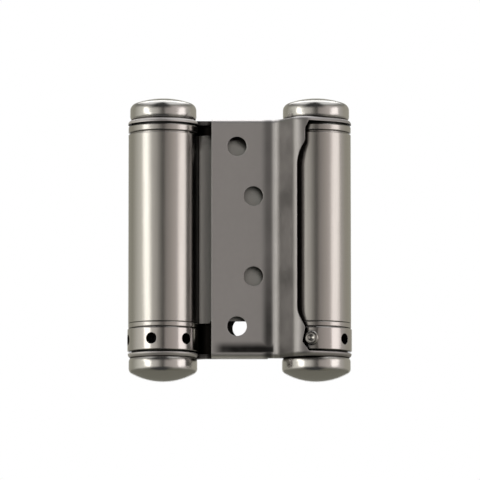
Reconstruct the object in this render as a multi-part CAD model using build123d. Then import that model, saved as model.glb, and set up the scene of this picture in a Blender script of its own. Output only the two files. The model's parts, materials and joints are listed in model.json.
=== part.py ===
from build123d import *
import math
import os

# A double-acting spring hinge, closed. Each barrel is first drawn about its own
# axis: x runs from the plate to the barrel, y away from the viewer, and z up from
# the foot of the leaf. The jamb side is the door side turned half a turn.

# Sheets
leaf_height = 76.0
leaf_sheet = 1.4
web_sheet = 1.2
nest_gap = 0.4  # between the web's tube and the leaf that lies over it
plate_gap = 2.2  # between the plates of the web and of a leaf, with the hinge closed
tube_diameter = 22.2
axis_spacing = 48.7
plate_reach = 33.3  # barrel axis to the long free side of a leaf
bend_radius = 3.6  # mounting face of the leaf, where it leaves the plate
web_bend_radius = 4.0  # the same bend in the web
slope_angle = 57.0  # how steeply a sheet climbs on to its barrel
seam_gap = 0.25  # where the web's tube closes on the web itself
web_end_step = 0.7  # the web's plate is this much shorter than its tubes, at the foot
edge_round = 1.3  # outer corner between a leaf's plate and its ears
ear_rim = 0.1  # of an ear, beyond the tube
hood_start = 7.9  # barrel axis to the end of the slope, where the hood turns over
hood_radius = 5.2
lip_gap = 0.2  # between an ear's lip and the mid plane

# Free edge of the wrap, seen from the front, as distance left of the axis
edge_middle = 6.2
edge_shoulder = 3.7
edge_root = 2.5  # where the edge runs into an ear
edge_corner = 1.2
edge_top_corner = 2.8
edge_upper_blend = 13.0
edge_lower_blend = 7.0

# The same edge in height: its upper run below the leaf's top, its lower above the collar
edge_upper_start = 12.2
edge_upper_end = 7.8
edge_top_drop = 3.8
edge_lower_start = 4.5
edge_lower_end = -0.4
edge_notch_drop = 1.4  # of the notch, below the middle of the collar

# Screw holes: from the barrel's axis, and how far the pattern is above the leaf's middle
screw_rise = 0.65
screw_radius = 3.1
screw_land = 0.4
countersink_angle = 90.0
outer_screw_reach = 25.2
outer_screw_spacing = 57.4
inner_screw_reach = 20.0
inner_screw_spacing = 25.6

# Stack of a barrel, from the lower ear up
washer_thickness = 0.5
washer_inset = 1.1  # of a washer's rim, inside the tube's outside
turning_gap = 0.1  # between faces that slide on each other
collar_height = 7.3
collar_rim = 0.25  # of the collar, beyond the tube
lower_rim_height = 1.75
upper_rim_height = 2.75
neck_height = 0.6  # of the groove between the upper rim and the tube
neck_depth = 0.6
tube_inset = 0.04  # between pieces that are fixed one inside the other
spigot_height = 4.0
bushing_round = 0.35

# Pintle and caps
pintle_radius = 3.5
running_gap = 0.05
pintle_grip = 3.2  # length of the pintle inside each cap
cap_neck = 0.45  # of a cap's foot, inside its wall
cap_bead = 1.2  # height of the rounding from the foot to the wall
top_cap_inset = 0.5  # of its wall, inside the tube's outside
top_cap_wall = 4.8
top_cap_dome = 2.3
top_cap_corner = 2.4
bottom_cap_inset = 0.15
bottom_cap_wall = 4.4
bottom_cap_dome = 3.1
bottom_cap_corner = 1.8

# Tension collar and pin
bushing_wall = 1.26  # between the collar's hub and the tube
hub_rise = 3.0  # of the collar's hub above the lower bushing
tension_holes = 6
tension_hole_radius = 1.75
tension_hole_depth = 4.6
pin_shank_radius = 1.6
pin_head_radius = 2.25
pin_head_height = 1.4
pin_dish_radius = 1.2  # of the hollow in the middle of the head
pin_dish_depth = 0.35
pin_stand_off = 0.5  # shank seen between the collar and the head
pin_clearance = 0.65  # between the head and the notch in the free edge
door_pin_angle = -8.0  # from the front, towards the right
jamb_pin_angle = 41.8  # the same, on the far side

# Torsion spring
wire_width = 1.8
wire_height = 2.9
spring_clearance = 1.3  # between the coil and the tube, for the coil to wind up
spring_turns = 12
tail_depth = 1.6
tail_gap = 0.1
slot_gap = 0.15

# Worked out from the sizes above
tube_radius = tube_diameter / 2
mid_radius = tube_radius - web_sheet / 2
bore_radius = tube_radius - web_sheet
ear_radius = tube_radius + ear_rim
collar_radius = tube_radius + collar_rim
washer_radius = tube_radius - washer_inset
top_cap_radius = tube_radius - top_cap_inset
bottom_cap_radius = tube_radius - bottom_cap_inset
hub_radius = bore_radius - tube_inset - running_gap - bushing_wall
spring_radius = bore_radius - spring_clearance - wire_width / 2  # to the middle of the wire
leaf_outer = web_sheet / 2 + plate_gap + leaf_sheet
wrap_reach = tube_radius + nest_gap + leaf_sheet  # axis to the outside of the slope
slope = math.radians(slope_angle)
slope_side = Vector(-math.sin(slope), -math.cos(slope))
slope_run = Vector(math.cos(slope), -math.sin(slope))

pin_turn = math.radians(-door_pin_angle)
head_middle = collar_radius + pin_stand_off + pin_head_height / 2
pin_reach = head_middle * math.sin(pin_turn) + pin_head_radius * math.cos(pin_turn)
edge_notch = pin_reach + pin_clearance

collar_foot = leaf_sheet + washer_thickness + turning_gap
collar_top = collar_foot + collar_height
lower_rim_foot = collar_top + turning_gap
tube_foot = lower_rim_foot + lower_rim_height
upper_washer_top = leaf_height - leaf_sheet - turning_gap
upper_rim_top = upper_washer_top - washer_thickness
tube_top = upper_rim_top - upper_rim_height
hub_top = tube_foot + spigot_height + hub_rise
spring_foot = hub_top + tail_gap
spring_top = tube_top - spigot_height - tail_gap
collar_middle = collar_foot + collar_height / 2


def at_angle(radius, degrees):
    """A point on a circle about the axis, by its angle from the front to the right."""
    turn = math.radians(degrees)
    return Vector(radius * math.sin(turn), -radius * math.cos(turn))


def bend_centre(plate, reach, radius):
    """The middle of the bend between a plate's side and the side of its slope."""
    corner_x = (plate * math.cos(slope) - reach) / math.sin(slope)
    return Vector(corner_x - radius * math.tan(slope / 2), -plate - radius)


def plate_and_slope(plate, reach, radius, start_x, slope_end):
    """One side of a bent sheet: plate, bend, and slope up to a point on it."""
    centre = bend_centre(plate, reach, radius)
    plate_end = centre + Vector(0, radius)
    bend_middle = centre + Vector(math.sin(slope / 2), math.cos(slope / 2)) * radius
    bend_end = centre - slope_side * radius
    return [
        Line((start_x, -plate), plate_end),
        ThreePointArc(plate_end, bend_middle, bend_end),
        Line(bend_end, slope_end),
    ]


def hood_centre():
    """The middle of the turn from the leaf's slope to its front."""
    beyond = hood_start - wrap_reach * math.sin(slope)
    slope_end = slope_side * wrap_reach - slope_run * (beyond / math.cos(slope))
    return slope_end - slope_side * hood_radius


def hood_end_angle():
    """Where the hood's outside runs straight on into the round of the ear."""
    hood = hood_centre()
    from_front = math.degrees(math.atan2(hood.X, -hood.Y))
    return from_front + math.degrees(math.acos((ear_radius - hood_radius) / hood.length))


def leaf_side(depth, start_x):
    """A side of the leaf's sheet, from the plate to the hood, by its depth in the sheet."""
    turn = hood_radius - depth
    hood = hood_centre()
    hood_begin = hood + slope_side * turn
    hood_middle = hood + at_angle(turn, (hood_end_angle() - slope_angle) / 2)
    hood_end = hood + at_angle(turn, hood_end_angle())
    sizes = (leaf_outer - depth, wrap_reach - depth, bend_radius + depth)
    run = plate_and_slope(*sizes, start_x, hood_begin)
    return run + [ThreePointArc(hood_begin, hood_middle, hood_end)]


def web_side(offset, end_degrees):
    """A side of the web's sheet, from its middle to the end of its tube."""
    reach = mid_radius + offset
    roll_begin = slope_side * reach
    roll_middle = at_angle(reach, (end_degrees - slope_angle) / 2)
    roll_end = at_angle(reach, end_degrees)
    radius = web_bend_radius + web_sheet / 2 - offset
    run = plate_and_slope(offset, reach, radius, -axis_spacing / 2, roll_begin)
    return run + [ThreePointArc(roll_begin, roll_middle, roll_end)]


def drilled(radius, height, foot):
    return Pos(0, 0, foot) * Cylinder(radius, height, align=(Align.CENTER, Align.CENTER, Align.MIN))


def ring(outer, inner, height, foot):
    return drilled(outer, height, foot) - drilled(inner, height, foot)


def screw_hole(reach, spacing):
    """A pair of holes: straight at the mounting face, then countersunk for the head."""
    depth = leaf_sheet - screw_land
    spread = depth * math.tan(math.radians(countersink_angle / 2))
    wide = screw_radius + spread
    corners = [
        (0, -1),
        (screw_radius, -1),
        (screw_radius, screw_land),
        (wide, leaf_sheet),
        (wide, leaf_sheet + 0.2),
        (0, leaf_sheet + 0.2),
    ]
    bit = revolve(make_face(Polyline(*corners, close=True)), axis=Axis.Y)
    middle = leaf_height / 2 + screw_rise
    low = Pos(-reach, -leaf_outer, middle - spacing / 2) * bit
    high = Pos(-reach, -leaf_outer, middle + spacing / 2) * bit
    return [low, high]


def leaf_plan():
    """The outline of a leaf from above: its sheet, and the flat ear about the barrel."""
    near = leaf_side(0, -plate_reach)
    hood_end = near[3] @ 1
    back = Polyline(hood_end, (0, -lip_gap), (-plate_reach, -lip_gap), near[0] @ 0)
    landing = at_angle(ear_radius, hood_end_angle())
    straight_run = make_face(Polyline((0, 0), hood_end, landing, close=True))
    return make_face(near + [back]) + straight_run + Circle(ear_radius)


def blank():
    """The leaf's outline at full height, with its outer rims rounded at the ears."""
    block = extrude(leaf_plan(), leaf_height)
    ends = block.edges().group_by(Axis.Z)
    rims = [e for e in ends[0] + ends[-1] if on_outside(e)]
    return fillet(rims, edge_round)


def on_outside(edge):
    """True for a rim that lies along the outside of the sheet or round the ear."""
    point = edge @ 0.5
    on_back = abs(point.Y + lip_gap) < 0.001
    on_free_side = abs(point.X + plate_reach) < 0.001
    return not on_back and not on_free_side


def behind_wall():
    """All that is pressed away behind the leaf's wall, between its two ears."""
    past_plate = -plate_reach - leaf_sheet
    side = leaf_side(leaf_sheet, past_plate)
    far = axis_spacing
    hood_end = side[3] @ 1
    back = Polyline(hood_end, (far, hood_end.Y), (far, far), (past_plate, far), side[0] @ 0)
    return extrude(make_face(side + [back]), leaf_height - 2 * leaf_sheet)


def free_edge_cut():
    """What is cut away beyond the wrap's free edge, seen from the front."""
    under_ear = leaf_height - leaf_sheet
    points = [
        (-edge_root, leaf_sheet),
        (-edge_notch, collar_middle - edge_notch_drop),
        (-edge_shoulder, collar_top + edge_lower_end),
        (-edge_middle, collar_top + edge_lower_start),
        (-edge_middle, leaf_height - edge_upper_start),
        (-edge_shoulder, leaf_height - edge_upper_end),
        (-edge_shoulder, leaf_height - edge_top_drop),
        (-edge_root, under_ear),
    ]
    lower_radii = [edge_corner, edge_corner, edge_lower_blend]
    upper_radii = [edge_upper_blend, edge_top_corner, edge_top_corner]
    edge = FilletPolyline(*points, radius=lower_radii + upper_radii)
    close = Polyline(edge @ 1, (tube_diameter, under_ear), (tube_diameter, leaf_sheet), edge @ 0)
    front = Plane(origin=(0, 0, 0), x_dir=(1, 0, 0), z_dir=(0, -1, 0))
    return extrude(front * make_face(edge + close), tube_diameter)


def leaf():
    body = blank() - Pos(0, 0, leaf_sheet) * behind_wall() - free_edge_cut()
    body -= drilled(pintle_radius + tube_inset, leaf_height + 2, -1)
    body -= screw_hole(outer_screw_reach, outer_screw_spacing)
    body -= screw_hole(inner_screw_reach, inner_screw_spacing)
    return body


def web():
    """One sheet, rolled at each end into a tube that closes against the sheet itself."""
    off_slope = math.degrees(math.acos((bore_radius - seam_gap) / tube_radius))
    close_at = 360 - slope_angle - off_slope
    front = web_side(web_sheet / 2, close_at)
    rear = web_side(-web_sheet / 2, close_at)
    ends = [Line(front[0] @ 0, rear[0] @ 0), Line(front[3] @ 1, rear[3] @ 1)]
    half = make_face(front + rear + ends)
    other = Pos(-axis_spacing, 0, 0) * Rot(0, 0, 180) * half
    sheet = extrude(half + other, tube_top - tube_foot)
    flat = axis_spacing + 2 * (front[0] @ 1).X
    step = Box(flat, web_sheet * 2, web_end_step, align=(Align.CENTER, Align.CENTER, Align.MIN))
    return Pos(0, 0, tube_foot) * (sheet - Pos(-axis_spacing / 2, 0, 0) * step)


def tail_slot(top, turn):
    """The slot for a spring's tail, cut down from a face at the height given."""
    size = (tube_radius, wire_height + 2 * slot_gap, tail_depth + slot_gap)
    start = spring_radius - wire_width / 2 - slot_gap
    slot = Box(*size, align=(Align.MIN, Align.CENTER, Align.MAX))
    return Rot(0, 0, turn) * Pos(start, 0, top) * slot


def spring_turn():
    return -360 * (spring_turns % 1)


def upper_bushing():
    bore = pintle_radius + running_gap
    rim_foot = tube_top + neck_height
    rim = ring(tube_radius, bore, upper_rim_top - rim_foot, rim_foot)
    rim = fillet(rim.edges().filter_by(GeomType.CIRCLE).group_by(SortBy.RADIUS)[-1], bushing_round)
    neck = ring(tube_radius - neck_depth, bore, neck_height, tube_top)
    foot = tube_top - spigot_height
    spigot = ring(bore_radius - tube_inset, bore, spigot_height, foot)
    slot = tail_slot(foot + tail_depth + slot_gap, spring_turn())
    return rim + neck + (spigot - slot)


def lower_bushing():
    rim = ring(tube_radius, hub_radius + running_gap, lower_rim_height, lower_rim_foot)
    rim = fillet(rim.edges().filter_by(GeomType.CIRCLE).group_by(SortBy.RADIUS)[-1], bushing_round)
    return rim + ring(bore_radius - tube_inset, hub_radius + running_gap, spigot_height, tube_foot)


def tension_collar(pin_angle):
    bore = pintle_radius + running_gap
    body = ring(collar_radius, bore, collar_height, collar_foot)
    body = fillet(body.edges().filter_by(GeomType.CIRCLE).group_by(SortBy.RADIUS)[-1], bushing_round)
    body += ring(hub_radius, bore, hub_top - collar_top, collar_top)
    bit = Rot(90, 0, 0) * Cylinder(tension_hole_radius, 2 * tension_hole_depth)
    for step in range(tension_holes):
        turn = pin_angle + step * 360 / tension_holes
        body -= Rot(0, 0, turn) * Pos(0, -collar_radius, collar_middle) * bit
    return body - tail_slot(hub_top, 0)


def tension_pin(pin_angle):
    """A pin in one hole of the collar, its head dished, bearing on the leaf's free edge."""
    inner = collar_radius - tension_hole_depth + slot_gap
    neck = collar_radius + pin_stand_off
    brow = neck + pin_head_height / 2
    crown = neck + pin_head_height
    dish = (pin_dish_radius, crown)
    outline = [
        Polyline((0, inner), (pin_shank_radius, inner), (pin_shank_radius, neck), (pin_head_radius, neck)),
        Line((pin_head_radius, neck), (pin_head_radius, brow)),
        Spline((pin_head_radius, brow), dish, tangents=((0, 1), (-1, 0))),
        Spline(dish, (0, crown - pin_dish_depth), tangents=((-1, 0), (-1, 0))),
        Line((0, crown - pin_dish_depth), (0, inner)),
    ]
    pin = revolve(make_face(outline), axis=Axis.Y)
    return Rot(0, 0, pin_angle) * Pos(0, 0, collar_middle) * Rot(0, 0, 180) * pin


def spring():
    """A left-hand coil of flat wire, so that turning its foot anticlockwise winds it up."""
    foot = spring_foot + wire_height / 2
    rise = spring_top - spring_foot - wire_height
    coil = Helix(rise / spring_turns, rise, spring_radius, center=(0, 0, foot), lefthand=True)
    start = Plane(origin=coil @ 0, x_dir=(1, 0, 0), z_dir=coil % 0)
    wire = sweep(start * Rectangle(wire_width, wire_height), path=coil, is_frenet=True)
    size = (wire_width, wire_height, tail_depth + wire_height / 2)
    foot_tail = Box(*size, align=(Align.CENTER, Align.CENTER, Align.MAX))
    head_tail = Box(*size, align=(Align.CENTER, Align.CENTER, Align.MIN))
    wire += Pos(spring_radius, 0, foot) * foot_tail
    return wire + Rot(0, 0, spring_turn()) * Pos(spring_radius, 0, foot + rise) * head_tail


def pintle():
    shaft = drilled(pintle_radius, leaf_height + 2 * pintle_grip, -pintle_grip)
    return chamfer(shaft.edges().filter_by(GeomType.CIRCLE), bushing_round)


def cap(radius, wall, dome, corner):
    """A turned cap: its foot on the ear, rounded out to a straight wall, and a domed end."""
    dome_radius = (radius**2 + dome**2) / (2 * dome)
    lean = math.asin(radius / dome_radius) / 2
    crown = wall + dome
    middle = (dome_radius * math.sin(lean), crown - dome_radius * (1 - math.cos(lean)))
    foot = radius - cap_neck
    outline = [
        Line((0, 0), (foot, 0)),
        TangentArc((radius, cap_bead), (foot, 0), tangent=(0, -1)),
        Line((radius, cap_bead), (radius, wall)),
        ThreePointArc((radius, wall), middle, (0, crown)),
        Line((0, crown), (0, 0)),
    ]
    half = make_face(outline)
    shoulder = half.vertices().sort_by_distance((radius, wall))[0]
    half = fillet(shoulder, corner)
    turned = revolve(Plane.XZ * half, axis=Axis.Z)
    return turned - drilled(pintle_radius + tube_inset, pintle_grip + 0.2, 0)


def washer(foot):
    return ring(washer_radius, pintle_radius + running_gap, washer_thickness, foot)


def barrel(side, pin_angle):
    """All that stands on one axis, with the leaf that turns about it."""
    top_cap = cap(top_cap_radius, top_cap_wall, top_cap_dome, top_cap_corner)
    bottom_cap = cap(bottom_cap_radius, bottom_cap_wall, bottom_cap_dome, bottom_cap_corner)
    return {
        side + "_leaf": leaf(),
        side + "_pintle": pintle(),
        side + "_top_cap": Pos(0, 0, leaf_height) * top_cap,
        side + "_bottom_cap": Rot(180, 0, 0) * bottom_cap,
        side + "_upper_bushing": upper_bushing(),
        side + "_lower_bushing": lower_bushing(),
        side + "_upper_washer": washer(upper_rim_top),
        side + "_lower_washer": washer(leaf_sheet),
        side + "_tension_collar": tension_collar(pin_angle),
        side + "_tension_pin": tension_pin(pin_angle),
        side + "_spring": spring(),
    }


# The origin is between the jamb leaf's outer screws, on its mounting face.
jamb_axis = -outer_screw_reach
door_axis = jamb_axis + axis_spacing
leaf_foot = -leaf_height / 2 - screw_rise
door_place = Pos(door_axis, -leaf_outer, leaf_foot)
jamb_place = Pos(jamb_axis, -leaf_outer, leaf_foot) * Rot(0, 0, 180)

pieces = {"center_web": door_place * web()}
for name, shape in barrel("door", door_pin_angle).items():
    pieces[name] = door_place * shape
for name, shape in barrel("jamb", jamb_pin_angle).items():
    pieces[name] = jamb_place * shape

os.makedirs("parts", exist_ok=True)
for name, shape in pieces.items():
    export_step(shape, "parts/" + name + ".step")
    print(name, round(shape.volume, 1))
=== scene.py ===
import bpy
import json
import math
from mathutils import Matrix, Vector

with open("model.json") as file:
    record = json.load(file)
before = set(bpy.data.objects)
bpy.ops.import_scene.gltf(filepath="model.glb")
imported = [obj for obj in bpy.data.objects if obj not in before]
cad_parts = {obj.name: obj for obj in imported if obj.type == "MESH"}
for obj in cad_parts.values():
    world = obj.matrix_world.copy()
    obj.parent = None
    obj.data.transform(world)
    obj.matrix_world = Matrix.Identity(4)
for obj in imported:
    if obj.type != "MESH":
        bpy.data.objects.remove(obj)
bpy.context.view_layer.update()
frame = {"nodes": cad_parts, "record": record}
print("frame loaded:", len(frame["nodes"]), "nodes")

# Where the hinge's own lines are, for the shading that goes by place
plan = {
    "middle": -0.00085,  # x, midway between the barrels
    "axes": -0.0042,  # y of both barrels' axes
    "bend": 0.0115,  # from the middle to the bend of a leaf
}


# Small helpers for shader trees

def addNode(tree, kind, **settings):
    node = tree.nodes.new(kind)
    for key, value in settings.items():
        setattr(node, key, value)
    return node


def setInputs(node, **values):
    for key, value in values.items():
        node.inputs[key.replace("_", " ")].default_value = value
    return node


def wire(tree, source, target):
    tree.links.new(source, target)


def calculate(tree, operation, *values, clamp=False):
    node = addNode(tree, "ShaderNodeMath", operation=operation, use_clamp=clamp)
    for socket, value in zip(node.inputs, values):
        if isinstance(value, (int, float)):
            socket.default_value = value
        else:
            wire(tree, value, socket)
    return node.outputs[0]


def smoothBetween(tree, value, span):
    node = addNode(tree, "ShaderNodeMapRange", interpolation_type="SMOOTHSTEP")
    setInputs(node, From_Min=span[0], From_Max=span[1])
    wire(tree, value, node.inputs["Value"])
    return node.outputs["Result"]


def blendColors(tree, factor, first, second):
    node = addNode(tree, "ShaderNodeMix", data_type="RGBA")
    for index, value in ((0, factor), (6, first), (7, second)):
        if isinstance(value, tuple):
            node.inputs[index].default_value = value + (1,)
        else:
            wire(tree, value, node.inputs[index])
    return node.outputs[2]


def splitVector(tree, source):
    node = addNode(tree, "ShaderNodeSeparateXYZ")
    wire(tree, source, node.inputs[0])
    return node.outputs


def scaled(color, share):
    return tuple(min(1, share * part) for part in color)


def newGroup(name, inputs, outputs):
    group = bpy.data.node_groups.new(name, "ShaderNodeTree")
    for label, value in inputs.items():
        kind = "NodeSocketVector" if isinstance(value, tuple) else "NodeSocketFloat"
        socket = group.interface.new_socket(name=label, in_out="INPUT", socket_type=kind)
        socket.default_value = value
    for label in outputs:
        kind = "NodeSocketVector" if label == "Normal" else "NodeSocketFloat"
        group.interface.new_socket(name=label, in_out="OUTPUT", socket_type=kind)
    entry = group.nodes.new("NodeGroupInput")
    leave = group.nodes.new("NodeGroupOutput")
    return group, entry.outputs, leave.inputs


def placeGroup(tree, group, **values):
    return setInputs(addNode(tree, "ShaderNodeGroup", node_tree=group), **values)


# Shader groups that the finishes share

def makeGrainGroup():
    group, given, result = newGroup(
        "plateGrain",
        {"Across": 3000.0, "Along": 120.0, "Wave": 140.0},
        ("Grain", "Height"),
    )
    place = addNode(group, "ShaderNodeTexCoord")
    stretch = addNode(group, "ShaderNodeCombineXYZ")
    for index, label in enumerate(("Across", "Across", "Along")):
        wire(group, given[label], stretch.inputs[index])
    streak = addNode(group, "ShaderNodeVectorMath", operation="MULTIPLY")
    wire(group, place.outputs["Object"], streak.inputs[0])
    wire(group, stretch.outputs[0], streak.inputs[1])
    fine = setInputs(addNode(group, "ShaderNodeTexNoise"), Scale=1.0, Detail=3.0, Roughness=0.6)
    wire(group, streak.outputs[0], fine.inputs["Vector"])
    wave = setInputs(addNode(group, "ShaderNodeTexNoise"), Detail=1.0, Roughness=0.4)
    wire(group, place.outputs["Object"], wave.inputs["Vector"])
    wire(group, given["Wave"], wave.inputs["Scale"])
    wire(group, fine.outputs[0], result["Grain"])
    wire(group, wave.outputs[0], result["Height"])
    return group


# Painted shade: seams and recesses get a darker colour where ambient occlusion finds them closed
# in; with Sides, the wide recess shade falls only on faces towards the middle of the hinge
seamLook = {
    "nearShade": (0.75, 0.15),  # openness at which a seam starts and ends darkening
    "nearSamples": 8,
    "wideReach": 6.0,  # times the seam's own reach
    "wideSpan": 0.4,
    "wideSamples": 16,
    "sideways": (0.6, 0.82),  # how far a surface has to face the middle of the hinge
}


def makeSeamGroup():
    group, given, result = newGroup(
        "seamShade",
        {"Reach": 0.002, "Deep": 0.6, "Sides": 0.0, "Middle": plan["middle"]},
        ("Shade",),
    )
    near = addNode(group, "ShaderNodeAmbientOcclusion", samples=seamLook["nearSamples"])
    wire(group, given["Reach"], near.inputs["Distance"])
    wide = addNode(group, "ShaderNodeAmbientOcclusion", samples=seamLook["wideSamples"])
    farther = calculate(group, "MULTIPLY", given["Reach"], seamLook["wideReach"])
    wire(group, farther, wide.inputs["Distance"])
    seam = smoothBetween(group, near.outputs["AO"], seamLook["nearShade"])
    recess = addNode(group, "ShaderNodeMapRange", interpolation_type="SMOOTHSTEP")
    wire(group, wide.outputs["AO"], recess.inputs["Value"])
    wire(group, given["Deep"], recess.inputs["From Min"])
    darkest = calculate(group, "SUBTRACT", given["Deep"], seamLook["wideSpan"])
    wire(group, darkest, recess.inputs["From Max"])
    place = addNode(group, "ShaderNodeTexCoord")
    facing = splitVector(group, place.outputs["Normal"])
    spot = splitVector(group, place.outputs["Object"])
    inward = calculate(group, "SIGN", calculate(group, "SUBTRACT", given["Middle"], spot[0]))
    towards = calculate(group, "MULTIPLY", facing[0], inward)
    sideways = smoothBetween(group, towards, seamLook["sideways"])
    kept = addNode(group, "ShaderNodeMix")  # everywhere, or on the sideways faces alone
    kept.inputs[2].default_value = 1.0
    wire(group, given["Sides"], kept.inputs[0])
    wire(group, sideways, kept.inputs[3])
    nook = calculate(group, "MULTIPLY", recess.outputs["Result"], kept.outputs[0])
    wire(group, calculate(group, "MAXIMUM", seam, nook), result["Shade"])
    return group


# Painted shadow: a dark crescent on the web inside each screw hole, from occlusion with the
# normal leaned to one side
holeLook = {
    "lean": (0.95, 0.0, 1.15),  # towards the upper right, the side where the painted shadow crescent falls
    "shade": (0.55, 0.41),
    "samples": 32,
}


def makeHoleGroup():
    group, given, result = newGroup("holeShade", {"Reach": 0.005}, ("Shade",))
    surface = addNode(group, "ShaderNodeNewGeometry")
    leaning = addNode(group, "ShaderNodeVectorMath", operation="ADD")
    wire(group, surface.outputs["Normal"], leaning.inputs[0])
    leaning.inputs[1].default_value = holeLook["lean"]
    covered = addNode(group, "ShaderNodeAmbientOcclusion", samples=holeLook["samples"])
    wire(group, given["Reach"], covered.inputs["Distance"])
    wire(group, leaning.outputs[0], covered.inputs["Normal"])
    wire(group, smoothBetween(group, covered.outputs["AO"], holeLook["shade"]), result["Shade"])
    return group


flatLook = {
    "edge": (0.0136, 0.0124),  # from the middle to where the web's plate bends
    "outer": (0.0085, 0.0115),  # the strip along that bend, which leans to the light
    "lean": 0.27,
    # painted light: how much brighter the flat plate's colour is than the metal's
    "brighter": 1.75,
    "rougher": 0.24,
}


def makeFlatGroup():
    group, given, result = newGroup(
        "flatSheet",
        {"Soft": (0.0, 0.0, 0.0), "Middle": plan["middle"], "Lean": flatLook["lean"]},
        ("Flat", "Normal"),
    )
    place = addNode(group, "ShaderNodeTexCoord")
    facing = splitVector(group, place.outputs["Normal"])
    spot = splitVector(group, place.outputs["Object"])
    inward = calculate(group, "SUBTRACT", given["Middle"], spot[0])
    between = calculate(group, "ABSOLUTE", inward)
    flat = smoothBetween(group, between, flatLook["edge"])
    outer = smoothBetween(group, between, flatLook["outer"])
    tilt = calculate(group, "MULTIPLY", outer, given["Lean"])
    straight = addNode(group, "ShaderNodeCombineXYZ")
    lean = calculate(group, "MULTIPLY", calculate(group, "SIGN", inward), tilt)
    wire(group, lean, straight.inputs[0])
    wire(group, calculate(group, "SIGN", facing[1]), straight.inputs[1])
    turned = addNode(
        group, "ShaderNodeVectorTransform",
        vector_type="NORMAL", convert_from="OBJECT", convert_to="WORLD",
    )
    wire(group, straight.outputs[0], turned.inputs[0])
    mixed = addNode(group, "ShaderNodeMix", data_type="VECTOR")
    wire(group, flat, mixed.inputs[0])
    wire(group, given["Soft"], mixed.inputs[4])
    wire(group, turned.outputs[0], mixed.inputs[5])
    wire(group, flat, result["Flat"])
    wire(group, mixed.outputs[1], result["Normal"])
    return group


# Painted shade on the leaf's plate, in place of darker reflections: a band along the bend, a
# patch along the foot, and the bend and slope beyond it, made uneven by slow noise
# Lengths are from the bend of the leaf back on to its plate, heights are z
bendShadeLook = {
    "bandStart": (0.0050, 0.0026),  # painted shade: a darker band on the plate, along the bend
    "bandEnd": (0.0004, 0.0018),
    "bandShade": 0.5,
    "bandMore": 0.3,  # added towards the foot
    "bandMoreHeight": (-0.005, -0.030),
    "footTop": (-0.0330, -0.0358),  # painted shade: a darker patch along the foot of the plate
    "footBottom": (-0.0375, -0.0367),
    "footStart": (0.0205, 0.0165),
    "footEnd": (0.0002, 0.0012),
    "footShade": 0.95,
    "crestStart": (0.0012, 0.0002),  # painted shade over the bend and all beyond it
    "crestShade": 0.38,
    "slopeStart": (-0.0007, -0.0016),
    "slopeEnd": (-0.0060, -0.0050),
    "slopeShade": 0.28,
    "cloudScale": 120.0,
    "cloudShare": 0.5,
    "cloudLeast": 0.75,
    "color": 0.06,  # of the bright metal's colour, in full painted shade
}


def makeBendShadeGroup():
    look = bendShadeLook
    group, given, result = newGroup(
        "paintedBendShade",
        {"Middle": plan["middle"], "Behind": plan["axes"], "Bend": plan["bend"]},
        ("Shade",),
    )

    def times(*values):
        return calculate(group, "MULTIPLY", *values)

    def fade(value, key):
        return smoothBetween(group, value, look[key])

    place = addNode(group, "ShaderNodeTexCoord")
    spot = splitVector(group, place.outputs["Object"])
    height = spot[2]
    side = calculate(group, "SIGN", calculate(group, "SUBTRACT", given["Behind"], spot[1]))
    across = times(side, calculate(group, "SUBTRACT", spot[0], given["Middle"]))
    before = calculate(group, "SUBTRACT", given["Bend"], across)
    lower = fade(height, "bandMoreHeight")
    strength = calculate(group, "MULTIPLY_ADD", lower, look["bandMore"], look["bandShade"])
    band = times(times(fade(before, "bandStart"), fade(before, "bandEnd")), strength)
    foot = times(fade(height, "footTop"), fade(height, "footBottom"))
    foot = times(foot, times(fade(before, "footStart"), fade(before, "footEnd")))
    crest = times(fade(before, "crestStart"), look["crestShade"])
    slope = times(fade(before, "slopeStart"), fade(before, "slopeEnd"))
    beyond = calculate(group, "ADD", crest, times(slope, look["slopeShade"]))
    plate = calculate(group, "MAXIMUM", band, times(foot, look["footShade"]))
    whole = calculate(group, "MAXIMUM", plate, beyond)
    cloud = addNode(group, "ShaderNodeTexNoise")
    setInputs(cloud, Scale=look["cloudScale"], Detail=2.0, Roughness=0.5)
    wire(group, place.outputs["Object"], cloud.inputs["Vector"])
    uneven = calculate(
        group, "MULTIPLY_ADD", cloud.outputs[0], look["cloudShare"], look["cloudLeast"]
    )
    wire(group, calculate(group, "MULTIPLY", whole, uneven, clamp=True), result["Shade"])
    return group


edgeLook = {
    "wear": (0.995, 0.85),  # how far the rounded normal leans at a worn edge
    "brighter": 1.12,
    "samples": 6,
}


def makeEdgeGroup():
    group, given, result = newGroup("softEdge", {"Radius": 0.0002}, ("Normal", "Wear"))
    bevel = addNode(group, "ShaderNodeBevel", samples=edgeLook["samples"])
    wire(group, given["Radius"], bevel.inputs["Radius"])
    surface = addNode(group, "ShaderNodeNewGeometry")
    lean = addNode(group, "ShaderNodeVectorMath", operation="DOT_PRODUCT")
    wire(group, bevel.outputs[0], lean.inputs[0])
    wire(group, surface.outputs["Normal"], lean.inputs[1])
    wire(group, bevel.outputs[0], result["Normal"])
    wire(group, smoothBetween(group, lean.outputs["Value"], edgeLook["wear"]), result["Wear"])
    return group


grainGroup = makeGrainGroup()
seamGroup = makeSeamGroup()
holeGroup = makeHoleGroup()
bendShadeGroup = makeBendShadeGroup()
edgeGroup = makeEdgeGroup()
flatGroup = makeFlatGroup()
print("shader groups ready")


# Finishes. "across" and "along" are the fineness of the grain about and along the
# barrels, "edge" is how far the shading of an edge is rounded, and "reach" and "deep"
# are how far and how open a seam may be to take painted shade, in the colour "dark".

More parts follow.
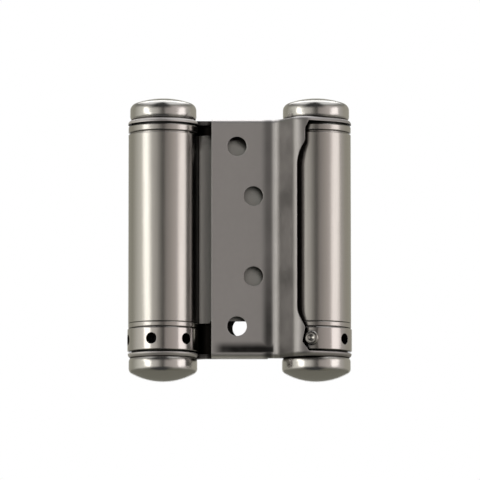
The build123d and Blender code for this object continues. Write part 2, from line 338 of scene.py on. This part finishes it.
finishLooks = {
    "web": {
        "name": "brightTube", "color": (0.60, 0.58, 0.55), "dark": (0.03, 0.027, 0.024),
        "roughness": 0.24, "spread": 0.03, "across": 2600, "along": 90, "wave": 60,
        "bump": 0.00008, "edge": 0.0003, "deep": 1.15, "sides": 1.0, "reach": 0.0014,
        "flat": True,
    },
    "leaf": {
        "name": "satinLeaf", "color": (0.90, 0.87, 0.86), "dark": (0.03, 0.027, 0.025),
        "roughness": 0.47, "spread": 0.03, "across": 900, "along": 700, "wave": 60,
        "bump": 0.00008, "edge": 0.0003, "deep": 0.85, "shadeAlongBend": True,
    },
    "cap": {
        "name": "turnedCap", "color": (0.68, 0.665, 0.64), "dark": (0.04, 0.036, 0.032),
        "roughness": 0.16, "spread": 0.02, "across": 300, "along": 1800, "wave": 110,
        "bump": 0.00008, "edge": 0.0013,
    },
    "bushing": {
        "name": "turnedRim", "color": (0.60, 0.575, 0.55), "dark": (0.05, 0.045, 0.04),
        "roughness": 0.22, "spread": 0.03, "across": 400, "along": 3000, "wave": 110,
        "bump": 0.00008, "edge": 0.0002,
    },
    "collar": {
        "name": "turnedCollar", "color": (0.60, 0.575, 0.555), "dark": (0.03, 0.033, 0.036),
        "roughness": 0.16, "spread": 0.02, "across": 100, "along": 900, "wave": 60,
        "bump": 0.00002, "edge": 0.0002,
    },
    "pin": {
        "name": "headedPin", "color": (0.58, 0.56, 0.53), "dark": (0.05, 0.045, 0.04),
        "roughness": 0.24, "spread": 0.04, "across": 2000, "along": 2000, "wave": 500,
        "bump": 0.00015, "edge": 0.0002,
    },
    "pintle": {
        "name": "groundShaft", "color": (0.45, 0.44, 0.43), "dark": (0.05, 0.045, 0.04),
        "roughness": 0.3, "spread": 0.03, "across": 400, "along": 3000, "wave": 200,
        "bump": 0.00005, "edge": 0.0002,
    },
    "washer": {
        "name": "oiledWasher", "color": (0.26, 0.25, 0.24), "dark": (0.03, 0.03, 0.03),
        "roughness": 0.4, "spread": 0.05, "across": 900, "along": 900, "wave": 300,
        "bump": 0.00008, "edge": 0.0002,
    },
    "spring": {
        "name": "springWire", "color": (0.16, 0.15, 0.15), "dark": (0.03, 0.03, 0.03),
        "roughness": 0.42, "spread": 0.05, "across": 900, "along": 900, "wave": 400,
        "bump": 0.0001, "edge": 0.0002,
    },
}
plainLook = {"deep": 0.6, "sides": 0.0, "reach": 0.0022, "shadeAlongBend": False, "flat": False}
grainShade = 0.93  # of the colour, in the grain's valleys
grainSpan = (0.3, 0.7)
grainHeight = 0.02  # of the fine grain, against the slow waves


def nickelFinish(look):
    look = {**plainLook, **look}
    color, roughness, spread = look["color"], look["roughness"], look["spread"]
    material = bpy.data.materials.new(look["name"])
    material.use_nodes = True
    tree = material.node_tree
    shader = tree.nodes["Principled BSDF"]
    shader.inputs["Metallic"].default_value = 1.0
    grain = placeGroup(
        tree, grainGroup, Across=look["across"], Along=look["along"], Wave=look["wave"]
    )
    seam = placeGroup(
        tree, seamGroup, Reach=look["reach"], Deep=look["deep"], Sides=look["sides"]
    )
    soft = placeGroup(tree, edgeGroup, Radius=look["edge"])
    tint = blendColors(tree, grain.outputs["Grain"], scaled(color, grainShade), color)
    wearAndPaintedLight = blendColors(tree, soft.outputs["Wear"], tint, scaled(color, edgeLook["brighter"]))
    shade, normal = seam.outputs["Shade"], soft.outputs["Normal"]
    vary = addNode(tree, "ShaderNodeMapRange")
    setInputs(vary, From_Min=grainSpan[0], From_Max=grainSpan[1])
    setInputs(vary, To_Min=roughness - spread, To_Max=roughness + spread)
    wire(tree, grain.outputs["Grain"], vary.inputs["Value"])
    rough = vary.outputs["Result"]
    # painted shade along the bend and the foot of the leaf's plate, blended towards a darker
    # colour
    if look["shadeAlongBend"]:
        bendShadeNode = placeGroup(tree, bendShadeGroup)
        wearAndPaintedLight = blendColors(tree, bendShadeNode.outputs["Shade"], wearAndPaintedLight, scaled(color, bendShadeLook["color"]))
    if look["flat"]:
        sheet = placeGroup(tree, flatGroup)
        wire(tree, normal, sheet.inputs["Soft"])
        flat, normal = sheet.outputs["Flat"], sheet.outputs["Normal"]
        # painted shadow crescents in the screw holes, on the web's flat plate only
        hole = placeGroup(tree, holeGroup)
        # Painted light: the web's flat plate gets a brighter colour than the same metal on its
        # tubes
        wearAndPaintedLight = blendColors(tree, flat, wearAndPaintedLight, scaled(color, flatLook["brighter"]))
        covered = calculate(tree, "MULTIPLY", flat, hole.outputs["Shade"])
        shade = calculate(tree, "MAXIMUM", shade, covered)
        rough = calculate(tree, "MULTIPLY_ADD", flat, flatLook["rougher"], rough)
    wire(tree, blendColors(tree, shade, wearAndPaintedLight, look["dark"]), shader.inputs["Base Color"])
    wire(tree, rough, shader.inputs["Roughness"])
    relief = calculate(
        tree, "MULTIPLY_ADD", grain.outputs["Grain"], grainHeight, grain.outputs["Height"]
    )
    raised = setInputs(addNode(tree, "ShaderNodeBump"), Strength=1.0, Distance=look["bump"])
    wire(tree, relief, raised.inputs["Height"])
    wire(tree, normal, raised.inputs["Normal"])
    wire(tree, raised.outputs[0], shader.inputs["Normal"])
    return material


finishes = {slot: nickelFinish(look) for slot, look in finishLooks.items()}
slotOf = {row["node"]: row["material_slot"] for row in frame["record"]["subparts"]}
for nodeName, node in frame["nodes"].items():
    for slot in node.material_slots:
        slot.material = finishes[slotOf[nodeName]]
print("finishes placed on", len(frame["nodes"]), "nodes")


# Studio

cameraPlace = {
    "target": (-0.00074, -0.0042, -0.00081),
    "distance": 1.6,
    "elevation": -6.0,
    "lens": 377.0,
    "sensor": 36.0,
    "nearest": 0.05,
}


def makeCamera():
    camera = bpy.data.cameras.new("photoCamera")
    camera.lens = cameraPlace["lens"]
    camera.sensor_width = cameraPlace["sensor"]
    camera.clip_start = cameraPlace["nearest"]
    holder = bpy.data.objects.new("photoCamera", camera)
    bpy.context.scene.collection.objects.link(holder)
    lift = math.radians(cameraPlace["elevation"])
    target = Vector(cameraPlace["target"])
    aside = Vector((0, -math.cos(lift), math.sin(lift)))
    holder.location = target + cameraPlace["distance"] * aside
    holder.rotation_euler = (target - holder.location).to_track_quat("-Z", "Y").to_euler()
    bpy.context.scene.camera = holder


# Azimuths are from the front, positive to the right
softboxes = {
    "leftStrip": {
        "azimuth": -56, "elevation": 6, "distance": 0.9, "size": (0.20, 0.5),
        "brightness": 1.5, "color": (1.0, 0.98, 0.93),
    },
    "rightStrip": {
        "azimuth": 66, "elevation": 6, "distance": 0.9, "size": (0.28, 0.5),
        "brightness": 0.9, "color": (1.0, 0.95, 0.94),
    },
    "rearBox": {
        "azimuth": 180, "elevation": 55, "distance": 0.9, "size": (0.9, 0.5),
        "brightness": 1.3, "color": (1.0, 1.0, 1.0),
    },
}


def makeSoftbox(name, look):
    lamp = bpy.data.lights.new(name, "AREA")
    lamp.shape = "RECTANGLE"
    lamp.size, lamp.size_y = look["size"]
    lamp.energy = look["brightness"] * math.pi * lamp.size * lamp.size_y  # in watts
    lamp.color = look["color"]
    holder = bpy.data.objects.new(name, lamp)
    bpy.context.scene.collection.objects.link(holder)
    turn, lift = math.radians(look["azimuth"]), math.radians(look["elevation"])
    level = math.cos(lift)
    place = Vector((math.sin(turn) * level, -math.cos(turn) * level, math.sin(lift)))
    holder.location = place * look["distance"]
    holder.rotation_euler = (-place).to_track_quat("-Z", "Z").to_euler()


# The room that the metal reflects. Heights and fades are parts of a unit sphere.
room = {
    "around": [  # degrees from the front, and the colour there
        (-180, (0.40, 0.39, 0.33)), (-120, (0.34, 0.33, 0.28)), (-108, (0.44, 0.43, 0.38)),
        (-88, (0.66, 0.65, 0.59)), (-70, (0.80, 0.78, 0.72)), (-46, (0.85, 0.83, 0.78)),
        (-20, (0.58, 0.555, 0.52)), (-6, (0.20, 0.19, 0.175)), (3, (0.07, 0.065, 0.06)),
        (9, (0.38, 0.35, 0.33)), (34, (0.52, 0.475, 0.45)), (58, (0.64, 0.59, 0.57)),
        (84, (0.58, 0.54, 0.52)), (98, (0.46, 0.44, 0.41)), (112, (0.40, 0.38, 0.33)),
        (180, (0.40, 0.39, 0.33)),
    ],
    "level": 0.1,  # middle height of that band
    "levelFade": (0.24, 0.48),
    "offLevel": (0.22, 0.215, 0.20),
    "lowFade": (-0.35, -0.7),
    "low": (0.17, 0.165, 0.13),
    "highFade": (0.62, 0.85),
    "high": (0.9, 0.9, 0.9),
    "dimLeft": (-1.15, -0.5),  # radians: the dark patches above and below the camera
    "dimRight": (0.75, 0.2),
    "dimOver": (0.14, 0.25),
    "dimUnder": (-0.06, -0.2),
    "dim": (0.05, 0.05, 0.05),
    "behindFade": (0.93, 0.98),  # the white backdrop, as the metal shows it
    "white": (1, 1, 1),
}


def makeWorld():
    world = bpy.data.worlds.new("studioWorld")
    world.use_nodes = True
    tree = world.node_tree
    background = tree.nodes["Background"]
    background.inputs["Strength"].default_value = 1.0

    def fade(value, key):
        return smoothBetween(tree, value, room[key])

    place = addNode(tree, "ShaderNodeTexCoord")
    aside, away, height = splitVector(tree, place.outputs["Generated"])
    turn = calculate(tree, "ARCTAN2", aside, calculate(tree, "MULTIPLY", away, -1.0))
    share = calculate(tree, "MULTIPLY_ADD", turn, 0.5 / math.pi, 0.5)
    around = addNode(tree, "ShaderNodeValToRGB")
    ramp = around.color_ramp
    while len(ramp.elements) < len(room["around"]):
        ramp.elements.new(0.5)
    for element, (degrees, color) in zip(ramp.elements, room["around"]):
        element.position = (degrees + 180) / 360
    for element, (degrees, color) in zip(ramp.elements, room["around"]):  # now in order
        element.color = color + (1,)
    wire(tree, share, around.inputs[0])
    fromLevel = calculate(
        tree, "ABSOLUTE", calculate(tree, "SUBTRACT", height, room["level"])
    )
    walls = blendColors(
        tree, fade(fromLevel, "levelFade"), around.outputs[0], room["offLevel"]
    )
    walls = blendColors(tree, fade(height, "lowFade"), walls, room["low"])
    walls = blendColors(tree, fade(height, "highFade"), walls, room["high"])
    inFront = calculate(tree, "MULTIPLY", fade(turn, "dimLeft"), fade(turn, "dimRight"))
    offSide = calculate(tree, "ADD", fade(height, "dimOver"), fade(height, "dimUnder"))
    dimmed = calculate(tree, "MULTIPLY", inFront, offSide)
    walls = blendColors(tree, dimmed, walls, room["dim"])
    light = addNode(tree, "ShaderNodeLightPath")
    reflected = calculate(
        tree, "MAXIMUM", light.outputs["Is Glossy Ray"], light.outputs["Is Transmission Ray"]
    )
    backdrop = calculate(tree, "MULTIPLY", reflected, fade(away, "behindFade"))
    seen = calculate(tree, "MAXIMUM", light.outputs["Is Camera Ray"], backdrop)
    wire(tree, blendColors(tree, seen, walls, room["white"]), background.inputs["Color"])
    bpy.context.scene.world = world


floorPaper = {
    "height": -0.26,
    "side": 0.7,
    "front": -0.06,
    "back": 0.9,
    "color": (0.22, 0.215, 0.17),
    "roughness": 0.9,
    "glow": 0.84,  # to the camera, so that the paper shows white
    "glint": 0.05,  # of that glow, in reflections
}


def makeFloor():
    side, height = floorPaper["side"], floorPaper["height"]
    front, back = floorPaper["front"], floorPaper["back"]
    mesh = bpy.data.meshes.new("studioFloor")
    corners = [
        (-side, front, height), (side, front, height), (side, back, height), (-side, back, height)
    ]
    mesh.from_pydata(corners, [], [(0, 1, 2, 3)])
    floor = bpy.data.objects.new("studioFloor", mesh)
    bpy.context.scene.collection.objects.link(floor)
    material = bpy.data.materials.new("floorPaper")
    material.use_nodes = True
    tree = material.node_tree
    paper = tree.nodes["Principled BSDF"]
    paper.inputs["Base Color"].default_value = floorPaper["color"] + (1,)
    paper.inputs["Roughness"].default_value = floorPaper["roughness"]
    paper.inputs["Emission Color"].default_value = (1, 1, 1, 1)
    light = addNode(tree, "ShaderNodeLightPath")
    shown = calculate(
        tree, "MAXIMUM", light.outputs["Is Camera Ray"], light.outputs["Is Transmission Ray"]
    )
    glint = calculate(tree, "MULTIPLY", light.outputs["Is Glossy Ray"], floorPaper["glint"])
    whole = calculate(tree, "MAXIMUM", shown, glint)
    glow = calculate(tree, "MULTIPLY", whole, floorPaper["glow"])
    wire(tree, glow, paper.inputs["Emission Strength"])
    surface = addNode(tree, "ShaderNodeNewGeometry")
    clear = addNode(tree, "ShaderNodeBsdfTransparent")  # seen from below
    either = addNode(tree, "ShaderNodeMixShader")
    wire(tree, surface.outputs["Backfacing"], either.inputs[0])
    wire(tree, paper.outputs[0], either.inputs[1])
    wire(tree, clear.outputs[0], either.inputs[2])
    wire(tree, either.outputs[0], tree.nodes["Material Output"].inputs["Surface"])
    mesh.materials.append(material)


makeCamera()
for name, look in softboxes.items():
    makeSoftbox(name, look)
makeWorld()
makeFloor()
bpy.context.scene.view_settings.view_transform = "Standard"
print("studio ready")
